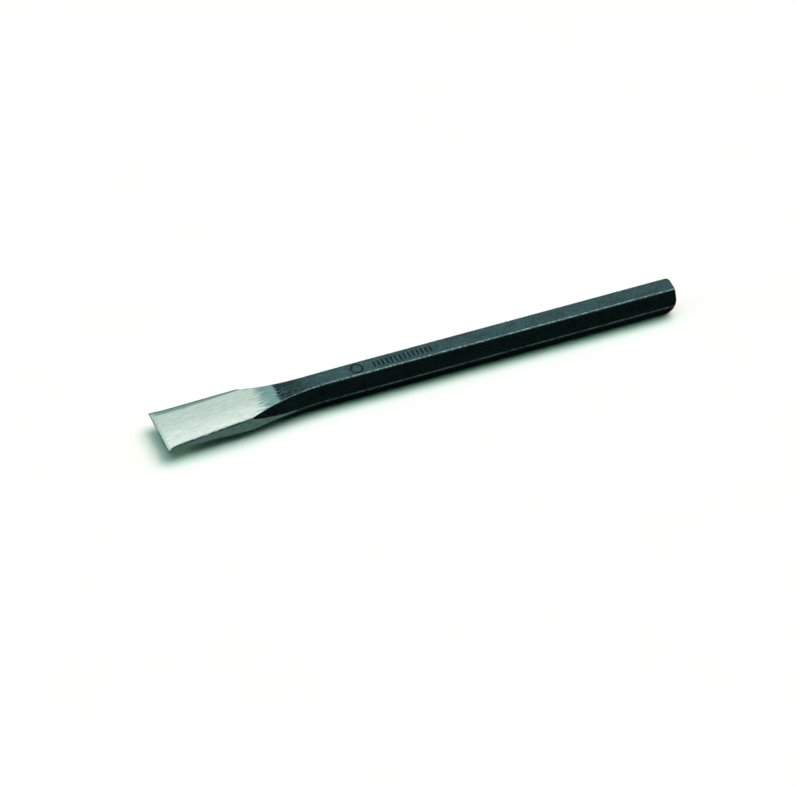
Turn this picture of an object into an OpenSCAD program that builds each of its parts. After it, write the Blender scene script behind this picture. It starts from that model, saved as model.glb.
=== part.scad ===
// Flat cold chisel: one bar of hexagonal tool steel, forged flat and ground at
// one end and chamfered at the struck end. It lies on one flat of the hexagon.
// Origin: halfway along, on the surface that the chisel lies on.
// +X runs along the bar to the struck head, +Z is up, all sizes in millimetres.

/* [Bar] */
// Overall length, from the cutting edge to the struck face
overall_len = 250; // [200:5:320]
// Width of the hexagonal bar across its flats
across_flats = 14; // [12:0.5:16]
// Radius on the long edges of the bar
arris_r = 1.3; // [0.8:0.1:1.5]

/* [Blade] */
// Width of the cutting edge
edge_w = 27; // [26:0.5:32]
// Width of the blade at its heel, where the bar starts to be forged flat
heel_w = 21.4; // [18:0.1:22]
// Distance from the cutting edge to the heel
heel_at = 40; // [30:1:50]
// Thickness of the blade at its heel
heel_t = 8.3; // [6:0.1:9]
// Angle between the two ground faces of the blade
wedge_angle = 8.8; // [6:0.2:9]
// Angle between the two bevels of the cutting edge
edge_angle = 60; // [50:1:70]
// Thickness left on the cutting edge itself
edge_land = 0.5; // [0.3:0.1:0.8]
// Height of the cutting edge above the axis of the bar
edge_lift = 0.6; // [0:0.1:1]
// How far the corners of the edge flare out past the tapered sides, each side
flare = 0.8; // [0:0.1:1.5]
// Length of blade over which the corners flare out
flare_len = 8; // [6:1:20]

/* [Neck] */
// Length of the neck, from the heel to the full hexagon
neck_len = 40; // [30:1:50]
// Length over which the flat sides of the blade run out on the corners of the bar
side_runout = 26; // [18:1:30]
// Height of the slanting facet left under each side of the blade at the heel
low_facet = 1.6; // [1:0.1:2.5]

/* [Head] */
// Diameter of the flat struck face inside its chamfer
struck_d = 11.5; // [8:0.5:13]

/* [Stamp] */
// Depth of the stamped marks in the top flat
stamp_depth = 0.25; // [0.1:0.05:0.4]
// Distance from the cutting edge to the centre of the stamped ring
stamp_at = 94; // [90:1:110]
// Outer diameter of the stamped ring
ring_d = 6; // [3:0.1:6.4]
// Number of upright strokes stamped after the ring
stroke_count = 14; // [4:1:16]

/* [Hidden] */

half_thick = across_flats / 2;
hex_half_angle = 30;
hex_top_half = half_thick * tan(hex_half_angle);
hex_corner = half_thick / cos(hex_half_angle);
facet_slope = tan(2 * hex_half_angle);

// A narrow flat stands for the crown of each side corner of the bar
corner_flat_half = 0.45;
hex_side_half = hex_corner - corner_flat_half / facet_slope;

heel_half = heel_w / 2;
heel_thick_half = heel_t / 2;

// Where the wedge would come to nothing before the edge, its angle is eased so
// that a short bevel is still left
least_bevel = 0.15;
wedge_thin_half = heel_thick_half - heel_at * tan(wedge_angle / 2);
blade_thick_half = max(wedge_thin_half, edge_land / 2 + least_bevel);
wedge_slope = (heel_thick_half - blade_thick_half) / heel_at;
bevel_rise = blade_thick_half - edge_land / 2;
bevel_len = bevel_rise / (tan(edge_angle / 2) - wedge_slope);
side_slope = (edge_w / 2 - flare - heel_half) / heel_at;

// Narrow break along the upper edges of the blade, the share of the thickness
// that it may take where the blade is thin, and the rounding on it
edge_break = 0.35;
break_share = 0.3;
blade_r = 0.2;

// Where the slanting facets under the blade start, and where they are full
low_facet_start = 2;
low_facet_full = 24;
low_facet_share = 0.8;

// How quickly the flats and the sides of the neck narrow to those of the bar
neck_end = heel_at + neck_len;
facet_power = 2.6;
side_power = 2.2;

// Where the middle of the forged end is back on the axis of the bar
lift_end = 60;

// Steps round a corner, the share of an edge that its rounding may take, and the
// number of rings along each stretch of the forged end
arc_steps = 4;
corner_share = 0.48;
edge_rings = 4;
blade_rings = 12;
neck_rings = 20;

// The skin runs this far into the bar, and the cone stands this far clear of it
overlap = 2;
head_slack = 5;
head_fn = 96;

// Line width of the ring, size and spacing of the strokes, and how far the cuts
// reach above the flat
ring_line = 0.55;
ring_fn = 48;
stroke_w = 0.6;
stroke_h = 3.8;
stroke_pitch = 2.1;
stroke_gap = 8.5;
cut_reach = 1;

function clamp01(u) = min(max(u, 0), 1);
function ease(u) = let (c = clamp01(u)) c * c * (3 - 2 * c);
function mix(a, b, u) = a + (b - a) * u;
function along(t, from, span) = clamp01((t - from) / span);

// Cubic that leaves value a at slope m and reaches value b level, over u = 0 to 1
function level_off(a, m, b, u) =
    mix(a, b, ease(u)) + m * u * (1 - u) * (1 - u);

// The sizes of a section at distance t from the cutting edge.

// Height of the middle of a section above the axis of the bar
function lift(t) = edge_lift * (1 - ease(t / lift_end));

// Half the thickness: land, bevel, wedge, then up to the full bar
function thick_half(t) =
    t < bevel_len ? mix(edge_land / 2, blade_thick_half + bevel_len * wedge_slope, t / bevel_len)
    : t < heel_at ? blade_thick_half + t * wedge_slope
    : level_off(heel_thick_half, wedge_slope * neck_len, half_thick, along(t, heel_at, neck_len));

// Half the width across the sides: flare, taper, then down to the corner of the bar
function side_half(t) =
    t < heel_at
    ? heel_half + (heel_at - t) * side_slope + flare * pow(1 - along(t, 0, flare_len), 2)
    : level_off(heel_half, -side_slope * neck_len, hex_side_half, along(t, heel_at, neck_len));

// Breaks get smaller with the thickness that is there to take them
function break_at(t) = min(edge_break, thick_half(t) * break_share);

// Half the width of the top flat
function top_half(t) =
    t < heel_at ? side_half(t) - break_at(t)
    : mix(heel_half - edge_break, hex_top_half,
          1 - pow(1 - along(t, heel_at, neck_len), facet_power));

// Height of the slanting facet under the blade, leaving some upright side above it
function low_facet_at(t) =
    let (grown = ease(along(t, low_facet_start, low_facet_full - low_facet_start)))
    max(break_at(t), min(low_facet * grown, thick_half(t) * low_facet_share));

// Half the width of the bottom flat
function bottom_half(t) =
    t < heel_at ? side_half(t) - low_facet_at(t) / facet_slope
    : mix(heel_half - low_facet / facet_slope, hex_top_half,
          1 - pow(1 - along(t, heel_at, neck_len), facet_power));

// Height of the upright side above and below the axis
function side_run(t, at_heel) =
    mix(corner_flat_half, at_heel, pow(1 - along(t, heel_at, side_runout), side_power));
function side_up(t) =
    t < heel_at ? thick_half(t) - break_at(t)
    : side_run(t, heel_thick_half - edge_break);
function side_down(t) =
    t < heel_at ? thick_half(t) - low_facet_at(t)
    : side_run(t, heel_thick_half - low_facet);

function corner_r(t) = mix(blade_r, arris_r, ease(along(t, heel_at, neck_len)));

// Eight corners of a section, anticlockwise from the bottom right
function corners(t) =
    let (right = [
        [bottom_half(t), -thick_half(t)],
        [side_half(t), -side_down(t)],
        [side_half(t), side_up(t)],
        [top_half(t), thick_half(t)],
    ])
    concat(right, [for (i = [len(right) - 1:-1:0]) [-right[i].x, right[i].y]]);

// The points of one rounded corner
function rounded_corner(before, corner, after, r) =
    let (
        u = (before - corner) / norm(before - corner),
        v = (after - corner) / norm(after - corner),
        turn = 180 - acos(u * v),
        room = corner_share * min(norm(before - corner), norm(after - corner)),
        reach = min(r * tan(turn / 2), room),
        radius = reach / tan(turn / 2),
        centre = corner + (u + v) / norm(u + v) * radius / cos(turn / 2),
        start = corner + u * reach - centre,
        from = atan2(start.y, start.x)
    )
    [for (i = [0:arc_steps]) let (a = from + turn * i / arc_steps)
        centre + radius * [cos(a), sin(a)]];

// Outline of a section at distance t from the cutting edge
function section(t) =
    let (c = corners(t), n = len(c))
    [for (i = [0:n - 1])
        each rounded_corner(c[(i + n - 1) % n], c[i], c[(i + 1) % n], corner_r(t))];

// Distances of the rings: bevel, blade, neck, then a short stretch inside the bar
ring_places = concat(
    [for (i = [0:edge_rings - 1]) bevel_len * i / edge_rings],
    [for (i = [0:blade_rings - 1]) mix(bevel_len, heel_at, i / blade_rings)],
    [for (i = [0:neck_rings]) mix(heel_at, neck_end, i / neck_rings)],
    [neck_end + overlap]
);

// Place something drawn from the cutting edge, about the bar's axis
module on_axis() {
    translate([-overall_len / 2, 0, half_thick])
        children();
}

// Blade and neck: one skin through the rings
module forged_end() {
    outline_len = len(section(0));
    ring_count = len(ring_places);
    points = [for (t = ring_places) for (p = section(t)) [t, p.x, p.y + lift(t)]];
    skin = [for (r = [0:ring_count - 2]) for (i = [0:outline_len - 1])
        let (j = (i + 1) % outline_len, a = r * outline_len, b = a + outline_len)
        each [[a + i, b + i, a + j], [a + j, b + i, b + j]]];
    front = [for (i = [0:outline_len - 1]) i];
    back = [for (i = [outline_len - 1:-1:0]) (ring_count - 1) * outline_len + i];
    polyhedron(points, concat([front, back], skin), convexity = 4);
}

// Straight bar, with a cone taking the corners off its struck end
module bar() {
    bar_len = overall_len - neck_end;
    turned = [
        [0, 0],
        [0, bar_len],
        [struck_d / 2, bar_len],
        [struck_d / 2 + head_slack, bar_len - head_slack],
        [struck_d / 2 + head_slack, 0],
    ];
    translate([neck_end, 0, 0])
        intersection() {
            rotate([90, 0, 90])
                linear_extrude(bar_len)
                    polygon(section(neck_end));
            rotate([0, 90, 0])
                rotate_extrude($fn = head_fn)
                    polygon(turned);
        }
}

// Plain ring and a row of equal strokes, cut into the top flat
module stamp() {
    cut_h = stamp_depth + cut_reach;
    translate([stamp_at, 0, half_thick - stamp_depth]) {
        difference() {
            cylinder(d = ring_d, h = cut_h, $fn = ring_fn);
            translate([0, 0, -cut_reach])
                cylinder(d = ring_d - 2 * ring_line, h = cut_h + 2 * cut_reach, $fn = ring_fn);
        }
        for (i = [0:stroke_count - 1])
            translate([stroke_gap + i * stroke_pitch - stroke_w / 2, -stroke_h / 2, 0])
                cube([stroke_w, stroke_h, cut_h]);
    }
}

module chisel() {
    color([0.16, 0.22, 0.22])
        on_axis()
            difference() {
                union() {
                    forged_end();
                    bar();
                }
                stamp();
            }
}

chisel();
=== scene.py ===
import math

import bpy
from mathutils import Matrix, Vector, noise


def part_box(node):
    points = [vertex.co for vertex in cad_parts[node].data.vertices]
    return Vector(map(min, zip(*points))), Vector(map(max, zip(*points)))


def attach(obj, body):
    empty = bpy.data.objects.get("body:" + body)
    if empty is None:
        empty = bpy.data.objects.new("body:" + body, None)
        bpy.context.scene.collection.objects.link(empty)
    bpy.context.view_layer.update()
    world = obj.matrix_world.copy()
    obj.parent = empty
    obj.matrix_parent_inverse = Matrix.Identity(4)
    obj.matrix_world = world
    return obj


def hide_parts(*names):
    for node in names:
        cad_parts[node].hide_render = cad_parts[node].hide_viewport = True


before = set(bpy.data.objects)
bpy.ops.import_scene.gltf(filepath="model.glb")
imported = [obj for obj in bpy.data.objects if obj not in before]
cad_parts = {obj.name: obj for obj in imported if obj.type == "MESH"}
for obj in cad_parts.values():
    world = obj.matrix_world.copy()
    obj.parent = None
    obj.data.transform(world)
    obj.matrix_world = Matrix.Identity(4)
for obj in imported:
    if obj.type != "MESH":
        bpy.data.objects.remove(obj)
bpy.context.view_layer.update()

MM = 0.001

# ---------------------------------------------------------------- sizes, mm
# t runs from the cutting edge towards the head, y across the bar and z up from
# its axis. "near" is -Y, "far" is +Y.
low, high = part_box("chisel")
LENGTH = (high.x - low.x) / MM
HALF_THICK = (high.z - low.z) / 2 / MM
EDGE_HALF = (high.y - low.y) / 2 / MM
EDGE_X = low.x
AXIS_Z = (low.z + high.z) / 2

ROOT3 = math.sqrt(3)
HEX_CORNER = 2 * HALF_THICK / ROOT3
# The top and bottom flats are a little wider than those of an even hexagon
WIDER_FLAT = 0.34
HEX_TOP_HALF = HEX_CORNER / 2 + WIDER_FLAT
ARRIS_R = 1.3
CORNER_FLAT_HALF = 0.45
HEX_SIDE_HALF = HEX_CORNER - CORNER_FLAT_HALF / ROOT3

# The blade ends at its heel, where the neck starts
HEEL_AT = 40.0
HEEL_HALF = 10.7
HEEL_THICK_HALF = 4.15
WEDGE_SLOPE = math.tan(math.radians(4.4))
EDGE_LAND_HALF = 0.25
BEVEL_SLOPE = math.tan(math.radians(30))
BLADE_THICK_HALF = HEEL_THICK_HALF - HEEL_AT * WEDGE_SLOPE
BEVEL_LEN = (BLADE_THICK_HALF - EDGE_LAND_HALF) / (BEVEL_SLOPE - WEDGE_SLOPE)
# Thickness over which the bevel rounds into the ground face
BEVEL_SOFT = 0.4
FLARE = 0.8
FLARE_LEN = 8.0
SIDE_SLOPE = (EDGE_HALF - FLARE - HEEL_HALF) / HEEL_AT
EDGE_BREAK = 0.3
BREAK_SHARE = 0.3
BLADE_R = 0.15
# The edge was ground a little above the axis of the bar
EDGE_LIFT = 0.65
LIFT_END = 60.0

NECK_LEN = 40.0
NECK_END = HEEL_AT + NECK_LEN
SIDE_RUNOUT = 26.0
LOW_FACET = 1.6
LOW_FACET_START = 2.0
LOW_FACET_FULL = 24.0
FACET_POWER = 2.6
SIDE_POWER = 2.2

# The head: radius of its struck face, where the middle of its cone stands off the
# axis, how far the cone is cut at least, and how far the face leans
STRUCK_R = 6.2
HEAD_Y = -0.5
HEAD_Z = 1.4
HEAD_BREAK = 0.15
FACE_LEAN_Y = 0.045
FACE_LEAN_Z = 0.04
# The last stretch of the bar, where the rings of the head take over
HEAD_ZONE = 4.0
# Rings down the cone: share of the chamfer's length still to go, and how far the
# ring is drawn in to soften the meeting of cone and bar
CONE_RINGS = [(1.35, 0.0), (1.12, 0.0), (1.0, 0.04), (0.9, 0.08), (0.6, 0.02), (0.25, 0.0), (0.12, 0.02)]
# Rings on the struck face: how far inside its rim, and how far back
FACE_RINGS = [(0.0, 0.06), (0.12, 0.0), (1.5, 0.0), (3.6, 0.0)]
# How worn the cone and the rim of the struck face are, and how wide that rim is
CONE_WEAR = 0.6
RIM_WEAR = 0.8
RIM_LINE = 0.2

# The ground top rolls off along its far edge, and the bottom along its near one
ROLL_W = 3.4
ROLL_W_HEEL = 1.7
ROLL_FULL = 15.0
ROLL_END = 45.0
ROLL_SLOPE = math.tan(math.radians(5))
ROLL_TONE_POWER = 0.6
# Only what is this far out from the axis, as a share of the thickness, rolls off
ROLL_FROM_SHARE = 0.6
# Painted shade as a dark line along the rim of the ground face and on its break facets, where it starts
# to fade and over what length, then the one along the cutting edge
RIM_W = 0.9
RIM_STRENGTH = 1.3
RIM_END_FROM = HEEL_AT - 4
RIM_END_OVER = 10.0
EDGE_LINE = 0.1

# Inward wander of the surface: on the ground blade, on the forged bar, and the
# extra that the neck has
BLADE_WANDER = 0.015
BAR_WANDER = 0.05
NECK_WANDER = 0.10
# Where the blade's wander starts to turn into the bar's, where the neck's extra
# starts to go, and the lengths over which they change
FORGED_FROM = HEEL_AT - 4
FORGED_OVER = 14.0
NECK_WANDER_OVER = 12.0
NECK_WANDER_TO = NECK_END - 8
NECK_WANDER_TO_OVER = 20.0
# Its scale along and across the bar, then the finer wander on top: its share, how
# much finer it is, and its shift
WANDER_ALONG = 0.05
WANDER_ACROSS = 0.16
QUICK_WANDER = 0.35
QUICK_SCALE = 4.0
QUICK_SHIFT = Vector((7.0, 3.0, 1.0))
# The flat that the chisel lies on wanders less
UNDER_WANDER_SHARE = 0.2

# Marks stamped in the top flat: a plain ring and a row of equal strokes
STAMP_DEPTH = 0.25
STAMP_AT = 94.0
STAMP_SOFT = 0.16
RING_R = 3.0
RING_LINE = 0.55
STROKE_COUNT = 14
STROKE_FROM = 102.5
STROKE_PITCH = 2.1
STROKE_W = 0.6
STROKE_H = 3.8

# Where the ground steel ends on the top and bottom, on the sides, and on the
# narrow facets above and below them
GROUND_END = 55.5
SIDE_GROUND_END = 62.0
HIGH_GROUND_END = HEEL_AT + 1
LOW_GROUND_END = HEEL_AT - 4
NOT_GROUND = -99.0
# Where the dull band and the worn lines start
DULL_FROM = 47.0
WORN_FROM = 44.0
WORN_FULL_OVER = 10.0

# Steps round a corner, the share of an edge that its rounding may take, and the
# number of strips on each side of a section
ARC_STEPS = 6
CORNER_SHARE = 0.48
STRIPS = {"bottom": 26, "low": 10, "side": 8, "high": 12, "top": 60}
# How far the strips crowd towards the rounded edges
CROWDING = 0.35
# Distance between rings, and how far before the marks the finest ones start
EDGE_STEP = 0.16
BLADE_STEP = 0.55
NECK_STEP = 0.7
SHANK_STEP = 1.0
STAMP_STEP = 0.14
BAR_STEP = 1.6
STAMP_MARGIN = 4.0


def clamp01(u):
    return min(max(u, 0.0), 1.0)


def ease(u):
    c = clamp01(u)
    return c * c * (3 - 2 * c)


def mix(a, b, u):
    return a + (b - a) * u


def along(t, start, span):
    return clamp01((t - start) / span)


def level_off(a, m, b, u):
    """Cubic that leaves a at slope m and reaches b level, over u = 0 to 1."""
    return mix(a, b, ease(u)) + m * u * (1 - u) ** 2


# ------------------------------------------------- section at distance t, mm
def thick_half(t):
    """Half the thickness: bevel, wedge, then up to the full bar."""
    if t < HEEL_AT:
        bevel = EDGE_LAND_HALF + t * BEVEL_SLOPE
        wedge = BLADE_THICK_HALF + t * WEDGE_SLOPE
        share = clamp01(0.5 + (wedge - bevel) / (2 * BEVEL_SOFT))
        return mix(wedge, bevel, share) - BEVEL_SOFT * share * (1 - share)
    run = along(t, HEEL_AT, NECK_LEN)
    return level_off(HEEL_THICK_HALF, WEDGE_SLOPE * NECK_LEN, HALF_THICK, run)


def side_half(t):
    """Half the width across the sides: flare, taper, then down to the bar's corner."""
    if t < HEEL_AT:
        flare = FLARE * (1 - along(t, 0, FLARE_LEN)) ** 2
        return HEEL_HALF + (HEEL_AT - t) * SIDE_SLOPE + flare
    run = along(t, HEEL_AT, NECK_LEN)
    return level_off(HEEL_HALF, -SIDE_SLOPE * NECK_LEN, HEX_SIDE_HALF, run)


def break_at(t):
    """The break along an edge, smaller where the blade is thin."""
    return min(EDGE_BREAK, thick_half(t) * BREAK_SHARE)


def run_in(at_heel, t):
    """Half the width of a flat that narrows from the heel to the bar's own flat."""
    return mix(at_heel, HEX_TOP_HALF, 1 - (1 - along(t, HEEL_AT, NECK_LEN)) ** FACET_POWER)


def top_half(t):
    if t < HEEL_AT:
        return side_half(t) - break_at(t)
    return run_in(HEEL_HALF - EDGE_BREAK, t)


def low_facet_at(t):
    """Height of the slanting facet under each side of the blade."""
    grown = ease(along(t, LOW_FACET_START, LOW_FACET_FULL - LOW_FACET_START))
    return max(break_at(t), LOW_FACET * grown)


def bottom_half(t):
    if t < HEEL_AT:
        return side_half(t) - low_facet_at(t) / ROOT3
    return run_in(HEEL_HALF - LOW_FACET / ROOT3, t)


def side_run(t, at_heel):
    """Height of a flat side that runs out on the corner of the bar."""
    return mix(CORNER_FLAT_HALF, at_heel, (1 - along(t, HEEL_AT, SIDE_RUNOUT)) ** SIDE_POWER)


def side_up(t):
    if t < HEEL_AT:
        return thick_half(t) - break_at(t)
    return side_run(t, HEEL_THICK_HALF - EDGE_BREAK)


def side_down(t):
    if t < HEEL_AT:
        return thick_half(t) - low_facet_at(t)
    return side_run(t, HEEL_THICK_HALF - LOW_FACET)


def corner_r(t):
    return mix(BLADE_R, ARRIS_R, ease(along(t, HEEL_AT, NECK_LEN)))


def corners(t):
    """Eight corners of a section, anticlockwise from the bottom flat's far end."""
    far = [
        Vector((bottom_half(t), -thick_half(t))),
        Vector((side_half(t), -side_down(t))),
        Vector((side_half(t), side_up(t))),
        Vector((top_half(t), thick_half(t))),
    ]
    return far + [Vector((-p.x, p.y)) for p in reversed(far)]


def rounded_corner(before, corner, after, r):
    """Points of one rounded corner."""
    u = (before - corner).normalized()
    v = (after - corner).normalized()
    turn = math.pi - u.angle(v)
    room = CORNER_SHARE * min((before - corner).length, (after - corner).length)
    reach = min(r * math.tan(turn / 2), room)
    radius = reach / math.tan(turn / 2)
    centre = corner + (u + v).normalized() * (radius / math.cos(turn / 2))
    start = corner + u * reach - centre
    first = math.atan2(start.y, start.x)
    angles = [first + turn * i / ARC_STEPS for i in range(ARC_STEPS + 1)]
    return [centre + radius * Vector((math.cos(a), math.sin(a))) for a in angles]


# Where each rounded edge is worn, from its upper side (0) to its lower side (1)
CROWN_AT = {"top": 0.44, "high": 0.9, "side": 0.1, "low": 0.5}
CROWN_WIDTH = 0.34
WEAR = {"top": 0.40, "high": 1.0, "side": 1.0, "low": 0.4}
STRIP_ORDER = ["low", "side", "high", "top", "high", "side", "low", "bottom"]


def section(t):
    """Points round a section, each with how much it belongs to a rounded edge."""
    c = corners(t)
    n = len(c)
    arcs = [rounded_corner(c[i - 1], c[i], c[(i + 1) % n], corner_r(t)) for i in range(n)]
    ring = []
    for i, arc in enumerate(arcs):
        kind = ("low", "side", "high", "top")[min(i, n - 1 - i) % 4]
        for k, p in enumerate(arc):
            outward = k / ARC_STEPS if i >= n / 2 else 1 - k / ARC_STEPS
            crown = WEAR[kind] * math.exp(-((outward - CROWN_AT[kind]) / CROWN_WIDTH) ** 2)
            ring.append((p, crown, kind))
        following = arcs[(i + 1) % n][0]
        count = STRIPS[STRIP_ORDER[i]]
        for k in range(1, count):
            s = k / count
            s = s - CROWDING * math.sin(2 * math.pi * s) / (2 * math.pi)
            ring.append((arc[-1].lerp(following, s), 0.0, STRIP_ORDER[i]))
    return ring


def spread(start, stop, step):
    """Even places from start up to, but not including, stop."""
    count = max(1, round((stop - start) / step))
    return [start + (stop - start) * i / count for i in range(count)]


def ring_places():
    """Distances of the rings, closer where the shape needs it."""
    stamp_start = STAMP_AT - STAMP_MARGIN
    stamp_end = STROKE_FROM + STROKE_COUNT * STROKE_PITCH
    bar_end = LENGTH - HEAD_ZONE
    return (
        spread(0.0, 2 * BEVEL_LEN, EDGE_STEP)
        + spread(2 * BEVEL_LEN, HEEL_AT, BLADE_STEP)
        + spread(HEEL_AT, NECK_END, NECK_STEP)
        + spread(NECK_END, stamp_start, SHANK_STEP)
        + spread(stamp_start, stamp_end, STAMP_STEP)
        + spread(stamp_end, bar_end, BAR_STEP)
        + [bar_end]
    )


# ------------------------------------------------------------ surface relief
def roll_off(t, y, upper):
    """Drop of the ground face towards the edge that the belt rolled over, and how much painted shade it
    gets there.
    """
    fade = 1 - ease(along(t, HEEL_AT, ROLL_END - HEEL_AT))
    width = mix(ROLL_W, ROLL_W_HEEL, along(t, ROLL_FULL, HEEL_AT - ROLL_FULL)) * fade
    across = y if upper else -y
    past = across - (side_half(t) - width)
    if width <= 0 or past <= 0:
        return 0.0, 0.0
    start = ease(along(t, 0, BEVEL_LEN))
    return past * ROLL_SLOPE * fade * start, clamp01(past / width) ** ROLL_TONE_POWER * fade


def groove(distance, half_width):
    """1 inside a mark's line and 0 outside it, with soft walls."""
    return 1 - ease((distance - half_width + STAMP_SOFT / 2) / STAMP_SOFT)


def stamp_depth(t, y):
    """1 at the bottom of a stamped mark, 0 on the flat round it."""
    ring = groove(abs(math.hypot(t - STAMP_AT, y) - RING_R + RING_LINE / 2), RING_LINE / 2)
    nearest = min(max(round((t - STROKE_FROM) / STROKE_PITCH), 0), STROKE_COUNT - 1)
    beside = abs(t - STROKE_FROM - nearest * STROKE_PITCH)
    stroke = min(groove(beside, STROKE_W / 2), groove(abs(y), STROKE_H / 2))
    return max(ring, stroke)


def unevenness(t, y, z):
    """Inward wander of the surface; the ground blade has little."""
    p = Vector((t * WANDER_ALONG, y * WANDER_ACROSS, z * WANDER_ACROSS))
    slow = noise.noise(p) * 0.5 + 0.5
    quick = noise.noise(p * QUICK_SCALE + QUICK_SHIFT) * 0.5 + 0.5
    forged = ease(along(t, FORGED_FROM, FORGED_OVER))
    neck = ease(along(t, HEEL_AT, NECK_WANDER_OVER))
    neck *= 1 - ease(along(t, NECK_WANDER_TO, NECK_WANDER_TO_OVER))
    amount = mix(BLADE_WANDER, BAR_WANDER, forged) + NECK_WANDER * neck
    return amount * slow + QUICK_WANDER * amount * quick


# ---------------------------------------------------------------------- mesh
PAINTED = ("ground", "dull", "worn", "rolled", "recess", "side", "rim", "bevel", "under")


class Skin:
    """Vertices, faces and the painted values that the material reads."""

    def __init__(self):
        self.points = []
        self.faces = []
        self.paint = {name: [] for name in PAINTED}

    def add(self, place, **values):
        self.points.append(place)
        for name, column in self.paint.items():
            column.append(values.get(name, 0.0))
        return len(self.points) - 1

    def bridge(self, a, b):
        """Joins two rings of the same length with a band of faces."""
        n = len(a)
        for i in range(n):
            j = (i + 1) % n
            self.faces.append((a[i], b[i], b[j], a[j]))


def to_frame(t, y, z):
    """From blade measures in mm to the row frame in metres, kept inside the CAD box."""
    z += EDGE_LIFT * (1 - ease(t / LIFT_END))
    place = (EDGE_X + t * MM, y * MM, AXIS_Z + z * MM)
    return Vector([min(max(p, a), b) for p, a, b in zip(place, low, high)])


GROUND_ENDS = {
    "top": GROUND_END,
    "bottom": GROUND_END,
    "side": SIDE_GROUND_END,
    "high": HIGH_GROUND_END,
    "low": LOW_GROUND_END,
}


def shaped(t, p, crown, kind):
    """A section point with its relief, as (y, z), and its painted values."""
    y, z = p.x, p.y
    values = {"ground": GROUND_ENDS[kind] - t}
    values["worn"] = crown * ease(along(t, WORN_FROM, WORN_FULL_OVER))
    values["side"] = 1.0 if kind == "side" else 0.0
    # Painted shade: the break facets above the sides, a strip along the rim of the top and the cutting
    # edge's land are marked to be darkened
    on_blade = 1 - ease(along(t, RIM_END_FROM, RIM_END_OVER))
    if kind == "high":
        values["rim"] = on_blade
    if kind == "top":
        inside = (side_half(t) - abs(y)) / RIM_W
        values["rim"] = on_blade * clamp01(RIM_STRENGTH - inside)
    if t < EDGE_LINE:
        values["rim"] = 1.0
    values["bevel"] = 1 - t / BEVEL_LEN
    # Painted shade: marks the lower flats, which the black skin darkens
    values["under"] = 1.0 if kind in ("low", "bottom") and z < 0 else 0.0
    upper = z > 0
    # The rolled band gets painted shade, darker towards its edge
    if kind != "side" and abs(z) > ROLL_FROM_SHARE * thick_half(t):
        drop, rolled = roll_off(t, y, upper)
        z += -drop if upper else drop
        values["rolled"] = rolled
    if kind == "top":
        values["dull"] = t - DULL_FROM
        depth = stamp_depth(t, y)
        z -= STAMP_DEPTH * depth
        values["recess"] = depth
    inward = unevenness(t, y, z)
    length = math.hypot(y, z)
    if kind == "bottom" and t > NECK_END:
        inward *= UNDER_WANDER_SHARE
    y -= inward * y / length
    z -= inward * z / length
    return y, z, values


def build_body(skin):
    """Blade, neck and bar, up to where the head starts."""
    rings = []
    for t in ring_places():
        ring = []
        for p, crown, kind in section(t):
            y, z, values = shaped(t, p, crown, kind)
            ring.append(skin.add(to_frame(t, y, z), **values))
        rings.append(ring)
    for a, b in zip(rings, rings[1:]):
        skin.bridge(a, b)
    return rings


def face_back(y, z):
    """How far the struck face stands back, being a little out of square."""
    return max(0.0, FACE_LEAN_Y * (STRUCK_R - y) + FACE_LEAN_Z * (HALF_THICK - z))


def head_point(skin, y, z, scale, back, worn):
    """Adds a point of the head, drawn in towards the cone's middle by the scale."""
    y, z = y * scale + HEAD_Y, z * scale + HEAD_Z
    place = to_frame(LENGTH - back - face_back(y, z), y, z)
    return skin.add(place, worn=worn, ground=NOT_GROUND)


def build_head(skin, ring):
    """Cone chamfer, ground deeper on its lower corners, then the struck face."""
    ends = [skin.points[i] for i in ring]
    outline = [(p.y / MM - HEAD_Y, (p.z - AXIS_Z) / MM - HEAD_Z) for p in ends]
    crowns = [skin.paint["worn"][i] for i in ring]
    radii = [math.hypot(y, z) for y, z in outline]
    rims = [min(STRUCK_R, r - HEAD_BREAK) for r in radii]
    previous = ring
    for share, cut in CONE_RINGS:
        current = []
        for (y, z), r, rim, crown in zip(outline, radii, rims, crowns):
            back = (r - rim) * share
            scale = (min(r, rim + back) - cut) / r
            worn = crown if share >= 1 else CONE_WEAR
            current.append(head_point(skin, y, z, scale, back, worn))
        skin.bridge(previous, current)
        previous = current
    for inset, back in FACE_RINGS:
        worn = RIM_WEAR if inset < RIM_LINE else 0.0
        current = []
        for (y, z), r, rim in zip(outline, radii, rims):
            current.append(head_point(skin, y, z, (rim - inset) / r, back, worn))
        skin.bridge(previous, current)
        previous = current
    skin.faces.append(tuple(reversed(previous)))


def make_chisel():
    skin = Skin()
    rings = build_body(skin)
    # The thin land on the cutting edge closes the front
    skin.faces.append(tuple(rings[0]))
    build_head(skin, rings[-1])
    mesh = bpy.data.meshes.new("chisel_forging")
    mesh.from_pydata(skin.points, [], skin.faces)
    mesh.validate()
    for name, column in skin.paint.items():
        layer = mesh.attributes.new(name, "FLOAT", "POINT")
        layer.data.foreach_set("value", column)
    mesh.polygons.foreach_set("use_smooth", [True] * len(mesh.polygons))
    piece = bpy.data.objects.new("chisel_forging", mesh)
    bpy.context.scene.collection.objects.link(piece)
    normals = piece.modifiers.new("even_shading", "WEIGHTED_NORMAL")
    normals.mode = "FACE_AREA"
    normals.weight = 50
    return piece


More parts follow.
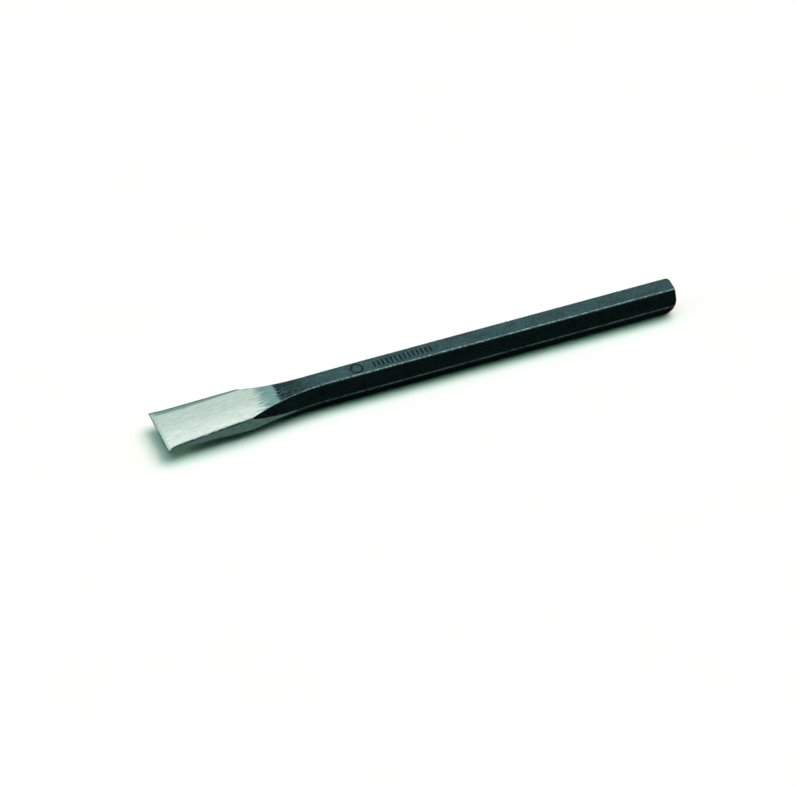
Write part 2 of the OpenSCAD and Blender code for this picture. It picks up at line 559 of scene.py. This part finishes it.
# ----------------------------------------------------------------- materials
class Nodes:
    """Short calls for building a node material."""

    def __init__(self, name):
        self.material = bpy.data.materials.new(name)
        self.material.use_nodes = True
        self.tree = self.material.node_tree
        self.tree.nodes.clear()

    def new(self, kind, **settings):
        node = self.tree.nodes.new(kind)
        for key, value in settings.items():
            setattr(node, key, value)
        return node

    def plug(self, value, socket):
        if isinstance(value, bpy.types.NodeSocket):
            self.tree.links.new(value, socket)
        else:
            socket.default_value = value

    def math(self, operation, a, b=0.0, clamp=False):
        node = self.new("ShaderNodeMath", operation=operation, use_clamp=clamp)
        self.plug(a, node.inputs[0])
        self.plug(b, node.inputs[1])
        return node.outputs[0]

    def attribute(self, name):
        return self.new("ShaderNodeAttribute", attribute_name=name).outputs["Fac"]

    def position(self, stretch):
        """Object position in mm, scaled along each axis."""
        coords = self.new("ShaderNodeTexCoord").outputs["Object"]
        node = self.new("ShaderNodeVectorMath", operation="MULTIPLY")
        self.plug(coords, node.inputs[0])
        node.inputs[1].default_value = tuple(s / MM for s in stretch)
        return node.outputs[0]

    def position_part(self, axis):
        """One coordinate of the object position, in mm."""
        split = self.new("ShaderNodeSeparateXYZ")
        self.plug(self.position((1, 1, 1)), split.inputs[0])
        return split.outputs[axis]

    def noise(self, stretch, scale, detail=3.0, roughness=0.55):
        node = self.new("ShaderNodeTexNoise")
        self.plug(self.position(stretch), node.inputs["Vector"])
        node.inputs["Scale"].default_value = scale
        node.inputs["Detail"].default_value = detail
        node.inputs["Roughness"].default_value = roughness
        return node.outputs["Fac"]

    def span(self, value, low_in, high_in, low_out=0.0, high_out=1.0, smooth=True):
        node = self.new("ShaderNodeMapRange", clamp=True)
        node.interpolation_type = "SMOOTHSTEP" if smooth else "LINEAR"
        self.plug(value, node.inputs["Value"])
        node.inputs["From Min"].default_value = low_in
        node.inputs["From Max"].default_value = high_in
        node.inputs["To Min"].default_value = low_out
        node.inputs["To Max"].default_value = high_out
        return node.outputs["Result"]

    def blend(self, factor, a, b):
        node = self.new("ShaderNodeMix", data_type="RGBA")
        self.plug(factor, node.inputs[0])
        self.plug(a, node.inputs[6])
        self.plug(b, node.inputs[7])
        return node.outputs[2]

    def multiply(self, a, b):
        node = self.new("ShaderNodeMix", data_type="RGBA", blend_type="MULTIPLY")
        self.plug(1.0, node.inputs[0])
        self.plug(a, node.inputs[6])
        self.plug(b, node.inputs[7])
        return node.outputs[2]

    def blend_number(self, factor, a, b):
        node = self.new("ShaderNodeMix", data_type="FLOAT")
        self.plug(factor, node.inputs[0])
        self.plug(a, node.inputs[2])
        self.plug(b, node.inputs[3])
        return node.outputs[0]


# Colours of the black skin, then of the ground steel from its middle outwards; some stand for painted
# shade or painted light, as marked
BLACK_DARK = (0.0135, 0.031, 0.033, 1)
BLACK_LIGHT = (0.058, 0.119, 0.125, 1)
# Painted shade on the lower flats of the black skin
UNDERSIDE_PAINTED_SHADE = (0.005, 0.009, 0.010, 1)
NECK_SCALE = (0.010, 0.023, 0.023, 1)
WORN_STEEL = (0.40, 0.62, 0.60, 1)
GROUND_LIGHT = (0.54, 0.61, 0.575, 1)
GROUND_STREAK = (0.34, 0.42, 0.38, 1)
GROUND_DULL = (0.087, 0.190, 0.183, 1)
# Painted shade on the rolled band of the ground face, darker at its edge
ROLLED_BAND_PAINTED_SHADE = (0.10, 0.225, 0.195, 1)
ROLLED_EDGE_PAINTED_SHADE = (0.045, 0.095, 0.085, 1)
# Painted shade on the ground sides of the blade, with darker stains
SIDE_PAINTED_SHADE = (0.215, 0.37, 0.335, 1)
SIDE_STAINS_AND_PAINTED_SHADE = (0.13, 0.23, 0.20, 1)
# Painted shade as a dark line on the break facets, along the rim and on the cutting edge's land
RIM_PAINTED_SHADE = (0.012, 0.030, 0.026, 1)
# Painted light on the cutting bevel, brighter on the near side
BEVEL_NEAR_PAINTED_LIGHT = (0.54, 0.74, 0.65, 1)
BEVEL_FAR_PAINTED_SHADE = (0.40, 0.58, 0.50, 1)
RECESS_BLACK = (0.004, 0.008, 0.009, 1)
# Painted shade towards the far side of the ground face
FAR_SIDE_PAINTED_SHADE = (0.71, 0.76, 0.75, 1)
WHITE = (1, 1, 1, 1)
# Fine belt lines scatter part of the light whichever way it comes
GROUND_METALLIC = 0.7


def black_scale(n, mottle, ground_at):
    """Colour of the black forged skin, worn light on the long edges, with painted shade on its lower
    flats.
    """
    patches = n.noise((0.35, 1, 1), 0.33, 3.0)
    grain = n.noise((1, 1, 1), 2.9, 2.0, 0.6)
    tone = n.math("ADD", n.math("MULTIPLY", grain, 0.68), n.math("MULTIPLY", patches, 0.32))
    tone = n.math("ADD", n.math("MULTIPLY", mottle, 0.45), n.math("MULTIPLY", tone, 0.55))
    black = n.blend(n.span(tone, 0.40, 0.60, smooth=False), BLACK_DARK, BLACK_LIGHT)
    neck = n.span(ground_at, -24.0, -2.0)
    blotches = n.span(n.noise((0.6, 1, 1), 0.9, 4.0, 0.7), 0.32, 0.53)
    black = n.blend(n.math("MULTIPLY", neck, blotches), black, NECK_SCALE)
    specks = n.span(n.noise((1, 1, 1), 2.0, 1.0), 0.67, 0.73, 0.0, 0.3)
    black = n.blend(specks, black, WORN_STEEL)
    # Painted shade: the lower flats are darkened
    black = n.blend(n.attribute("under"), black, UNDERSIDE_PAINTED_SHADE)
    beads = n.span(n.noise((0.7, 1, 1), 1.1, 3.0), 0.40, 0.60, 0.22, 1.25)
    worn = n.math("MULTIPLY", n.attribute("worn"), beads, clamp=True)
    black = n.blend(worn, black, WORN_STEEL)
    return n.blend(n.attribute("recess"), black, RECESS_BLACK), worn


def ground_face(n, fine):
    """Colour of the belt-ground blade, with its dull and stained zones, and painted shade towards the
    far side, on the sides, on the rolled band and along the rims, and painted light on the bevel.
    """
    long = n.noise((0.16, 1.9, 1.9), 1.0, 3.0, 0.6)
    broad = n.noise((0.06, 0.35, 0.35), 1.0, 3.0, 0.6)
    lines = n.math("ADD", n.math("MULTIPLY", fine, 0.52), n.math("MULTIPLY", long, 0.36))
    streaks = n.math("ADD", lines, n.math("MULTIPLY", broad, 0.12))
    steel = n.blend(n.span(streaks, 0.37, 0.59, smooth=False), GROUND_STREAK, GROUND_LIGHT)
    # Painted shade: the ground face darkens towards the far side
    across = n.span(n.position_part("Y"), -10.0, 4.0)
    steel = n.multiply(steel, n.blend(across, WHITE, FAR_SIDE_PAINTED_SHADE))
    wisps = n.span(n.noise((0.12, 1.2, 1.2), 1.0, 3.0), 0.3, 0.7, -3.4, 3.4, smooth=False)
    dull = n.span(n.math("ADD", n.attribute("dull"), wisps), -3.0, 3.5)
    steel = n.blend(n.math("MULTIPLY", dull, n.span(fine, 0.3, 0.6, 0.75, 1.0)), steel, GROUND_DULL)
    # Painted shade on the rolled band, darker towards its edge
    rolled = n.attribute("rolled")
    steel = n.blend(n.span(rolled, 0.1, 0.6, 0.0, 0.85), steel, ROLLED_BAND_PAINTED_SHADE)
    steel = n.blend(n.span(rolled, 0.75, 1.0, 0.0, 0.8), steel, ROLLED_EDGE_PAINTED_SHADE)
    # Painted light on the cutting bevel, brighter towards the near side
    bevel_painted_light_and_shade = n.blend(n.span(n.position_part("Y"), -13.0, 13.0), BEVEL_NEAR_PAINTED_LIGHT, BEVEL_FAR_PAINTED_SHADE)
    bevel_at = n.math("ADD", n.attribute("bevel"), n.span(fine, 0.3, 0.7, -0.25, 0.25, smooth=False))
    bevel_spots = n.span(n.noise((1, 1, 1), 1.3, 3.0), 0.38, 0.62, 0.25, 1.0)
    steel = n.blend(n.math("MULTIPLY", n.span(bevel_at, -0.5, 0.7), bevel_spots), steel, bevel_painted_light_and_shade)
    # Painted shade darkens the ground sides, varied by stains
    stains = n.span(n.noise((0.35, 1, 1), 0.8, 4.0, 0.7), 0.48, 0.66)
    side_stains_and_painted_shade = n.blend(stains, SIDE_PAINTED_SHADE, SIDE_STAINS_AND_PAINTED_SHADE)
    steel = n.blend(n.attribute("side"), steel, side_stains_and_painted_shade)
    # Painted shade: a broken dark line on the rims and the cutting edge
    broken = n.span(n.noise((0.35, 1, 1), 0.9, 3.0), 0.36, 0.56, 0.4, 1.0)
    return n.blend(n.math("MULTIPLY", n.attribute("rim"), broken), steel, RIM_PAINTED_SHADE)


def forged_steel():
    """Blackened forged steel with the blade ground bright, as one material."""
    n = Nodes("forged_steel")
    ground_at = n.attribute("ground")
    ragged = n.span(n.noise((0.5, 2.2, 2.2), 0.9, 4.0, 0.65), 0.3, 0.7, -1.5, 1.5, smooth=False)
    ground = n.span(n.math("ADD", ground_at, ragged), -0.5, 0.7)
    mottle = n.noise((1, 1, 1), 1.9, 2.0, 0.6)
    fine = n.noise((0.25, 3.2, 3.2), 1.0, 3.0, 0.6)
    black, worn = black_scale(n, mottle, ground_at)
    steel = ground_face(n, fine)

    shader = n.new("ShaderNodeBsdfPrincipled")
    n.plug(n.blend(ground, black, steel), shader.inputs["Base Color"])
    n.plug(n.blend_number(ground, 1.0, GROUND_METALLIC), shader.inputs["Metallic"])
    black_rough = n.blend_number(worn, n.span(mottle, 0.3, 0.7, 0.38, 0.54), 0.27)
    steel_rough = n.span(fine, 0.3, 0.7, 0.28, 0.40)
    n.plug(n.blend_number(ground, black_rough, steel_rough), shader.inputs["Roughness"])

    # Relief: grain on the black surface, brush lines on the ground one
    grain = n.math("MULTIPLY", n.noise((1, 1, 1), 2.0, 5.0, 0.7), 0.07)
    brushed = n.math("MULTIPLY", fine, 0.012)
    bump = n.new("ShaderNodeBump")
    bump.inputs["Strength"].default_value = 0.6
    bump.inputs["Distance"].default_value = MM
    n.plug(n.blend_number(ground, grain, brushed), bump.inputs["Height"])
    n.plug(bump.outputs["Normal"], shader.inputs["Normal"])

    output = n.new("ShaderNodeOutputMaterial")
    n.plug(shader.outputs[0], output.inputs["Surface"])
    return n.material


FLOOR_LIGHT = (0.81, 0.82, 0.80, 1)
FLOOR_SHADE = (0.79, 0.80, 0.78, 1)


def floor_material():
    """Pale matt paper sweep."""
    n = Nodes("pale_floor")
    shader = n.new("ShaderNodeBsdfPrincipled")
    tone = n.noise((1, 1, 1), 0.02, 2.0)
    n.plug(n.blend(tone, FLOOR_LIGHT, FLOOR_SHADE), shader.inputs["Base Color"])
    shader.inputs["Roughness"].default_value = 0.9
    shader.inputs["Specular IOR Level"].default_value = 0.0
    output = n.new("ShaderNodeOutputMaterial")
    n.plug(shader.outputs[0], output.inputs["Surface"])
    return n.material


# --------------------------------------------------------------------- stage
FLOOR_SIZE = 40.0


def make_floor():
    half = FLOOR_SIZE / 2
    mesh = bpy.data.meshes.new("pale_floor")
    square = [(-half, -half, 0), (half, -half, 0), (half, half, 0), (-half, half, 0)]
    mesh.from_pydata(square, [], [(0, 1, 2, 3)])
    mesh.materials.append(floor_material())
    floor = bpy.data.objects.new("pale_floor", mesh)
    floor.visible_glossy = False
    bpy.context.scene.collection.objects.link(floor)


def compass(azimuth, elevation, distance):
    """Offset of something seen from the middle at that azimuth and elevation, degrees."""
    a, e = math.radians(azimuth), math.radians(elevation)
    return Vector((math.sin(a) * math.cos(e), -math.cos(a) * math.cos(e), math.sin(e))) * distance


def aim(thing, target):
    direction = Vector(target) - thing.location
    thing.rotation_euler = direction.to_track_quat("-Z", "Y").to_euler()


# Fitted to the outline of the object in the photo; metres, degrees and lens mm
CAMERA_LENS = 168.26
CAMERA_REACH = 20.0
CAMERA_TARGET = Vector((-0.01395, -0.00782, 0.0))
CAMERA_AZIMUTH = -22.42
CAMERA_ELEVATION = 41.9
CAMERA_DISTANCE = 1.6728
CAMERA_ROLL = 0.07


def make_camera():
    data = bpy.data.cameras.new("camera")
    data.lens = CAMERA_LENS
    data.clip_end = CAMERA_REACH
    camera = bpy.data.objects.new("camera", data)
    bpy.context.scene.collection.objects.link(camera)
    offset = compass(CAMERA_AZIMUTH, CAMERA_ELEVATION, CAMERA_DISTANCE)
    camera.location = CAMERA_TARGET + offset
    aim(camera, CAMERA_TARGET)
    camera.rotation_euler.rotate_axis("Z", math.radians(CAMERA_ROLL))
    bpy.context.scene.camera = camera


SUN_DISTANCE = 2.0
CARD_DISTANCE = 1.4


def place_light(data, azimuth, elevation, distance):
    light = bpy.data.objects.new(data.name, data)
    bpy.context.scene.collection.objects.link(light)
    light.location = compass(azimuth, elevation, distance)
    aim(light, (0, 0, 0))
    return light


def make_floor_light(name, azimuth, elevation, spread, colour):
    """Broad soft light for the floor and its shadows; colour is what it gives the floor."""
    data = bpy.data.lights.new(name, "SUN")
    data.angle = math.radians(spread)
    data.color = colour
    data.energy = math.pi / math.sin(math.radians(elevation))
    light = place_light(data, azimuth, elevation, SUN_DISTANCE)
    light.visible_glossy = False


def make_card(name, azimuth, elevation, size, power):
    """Bright card that the steel mirrors, out of the way of the floor."""
    data = bpy.data.lights.new(name, "AREA")
    data.shape = "RECTANGLE"
    data.size, data.size_y = size
    data.energy = power
    light = place_light(data, azimuth, elevation, CARD_DISTANCE)
    light.visible_diffuse = False


# What the steel mirrors of the room, from straight down (-1) to straight up (1)
ROOM = [
    (-0.97, 0.015),
    (-0.85, 0.035),
    (-0.72, 0.26),
    (-0.56, 0.27),
    (-0.36, 0.08),
    (0.05, 0.012),
    (0.30, 0.012),
    (0.65, 0.12),
]
ROOM_TINT = (0.8, 1.0, 0.92)


def room_colour(level):
    return tuple(level * part for part in ROOM_TINT) + (1,)


def make_room():
    room = bpy.data.worlds.new("studio_room")
    bpy.context.scene.world = room
    room.use_nodes = True
    room.cycles_visibility.diffuse = False
    tree = room.node_tree
    coords = tree.nodes.new("ShaderNodeTexCoord")
    split = tree.nodes.new("ShaderNodeSeparateXYZ")
    height = tree.nodes.new("ShaderNodeMapRange")
    ramp = tree.nodes.new("ShaderNodeValToRGB")
    height.inputs["From Min"].default_value = -1.0
    tree.links.new(coords.outputs["Generated"], split.inputs[0])
    tree.links.new(split.outputs["Z"], height.inputs["Value"])
    tree.links.new(height.outputs["Result"], ramp.inputs[0])
    tree.links.new(ramp.outputs["Color"], tree.nodes["Background"].inputs["Color"])
    stops = ramp.color_ramp.elements
    for stop, (z, level) in zip(stops, (ROOM[0], ROOM[-1])):
        stop.position = (z + 1) / 2
        stop.color = room_colour(level)
    for z, level in ROOM[1:-1]:
        stops.new((z + 1) / 2).color = room_colour(level)


def make_lights():
    """Azimuth, elevation, spread in degrees and colour of each light, then the cards."""
    make_floor_light("right_low", 90.0, 22.0, 30.0, (0.032, 0.085, 0.062))
    make_floor_light("left_low", 262.0, 27.0, 30.0, (0.065, 0.115, 0.080))
    make_floor_light("overhead_softbox", 330.0, 78.0, 50.0, (0.000, 0.280, 0.170))
    make_floor_light("left_softbox", 240.0, 65.0, 50.0, (0.000, 0.020, 0.080))
    make_floor_light("side_softbox", 94.0, 60.0, 50.0, (0.780, 0.580, 0.640))
    make_floor_light("far_side_softbox", 130.0, 50.0, 45.0, (0.066, 0.100, 0.075))
    make_floor_light("back_softbox", 183.0, 67.0, 52.0, (0.330, 0.160, 0.160))
    make_card("long_card", 180.0, 68.0, (2.2, 1.9), 22.5)
    make_card("right_card", 95.0, 26.0, (1.2, 0.8), 1.2)
    make_card("left_card", -95.0, 26.0, (1.2, 0.8), 1.2)
    make_room()
    bpy.context.scene.view_settings.view_transform = "Standard"
    bpy.context.scene.view_settings.look = "None"


make_camera()
make_lights()
make_floor()
chisel = make_chisel()
chisel.data.materials.append(forged_steel())
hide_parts("chisel")
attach(chisel, "root")
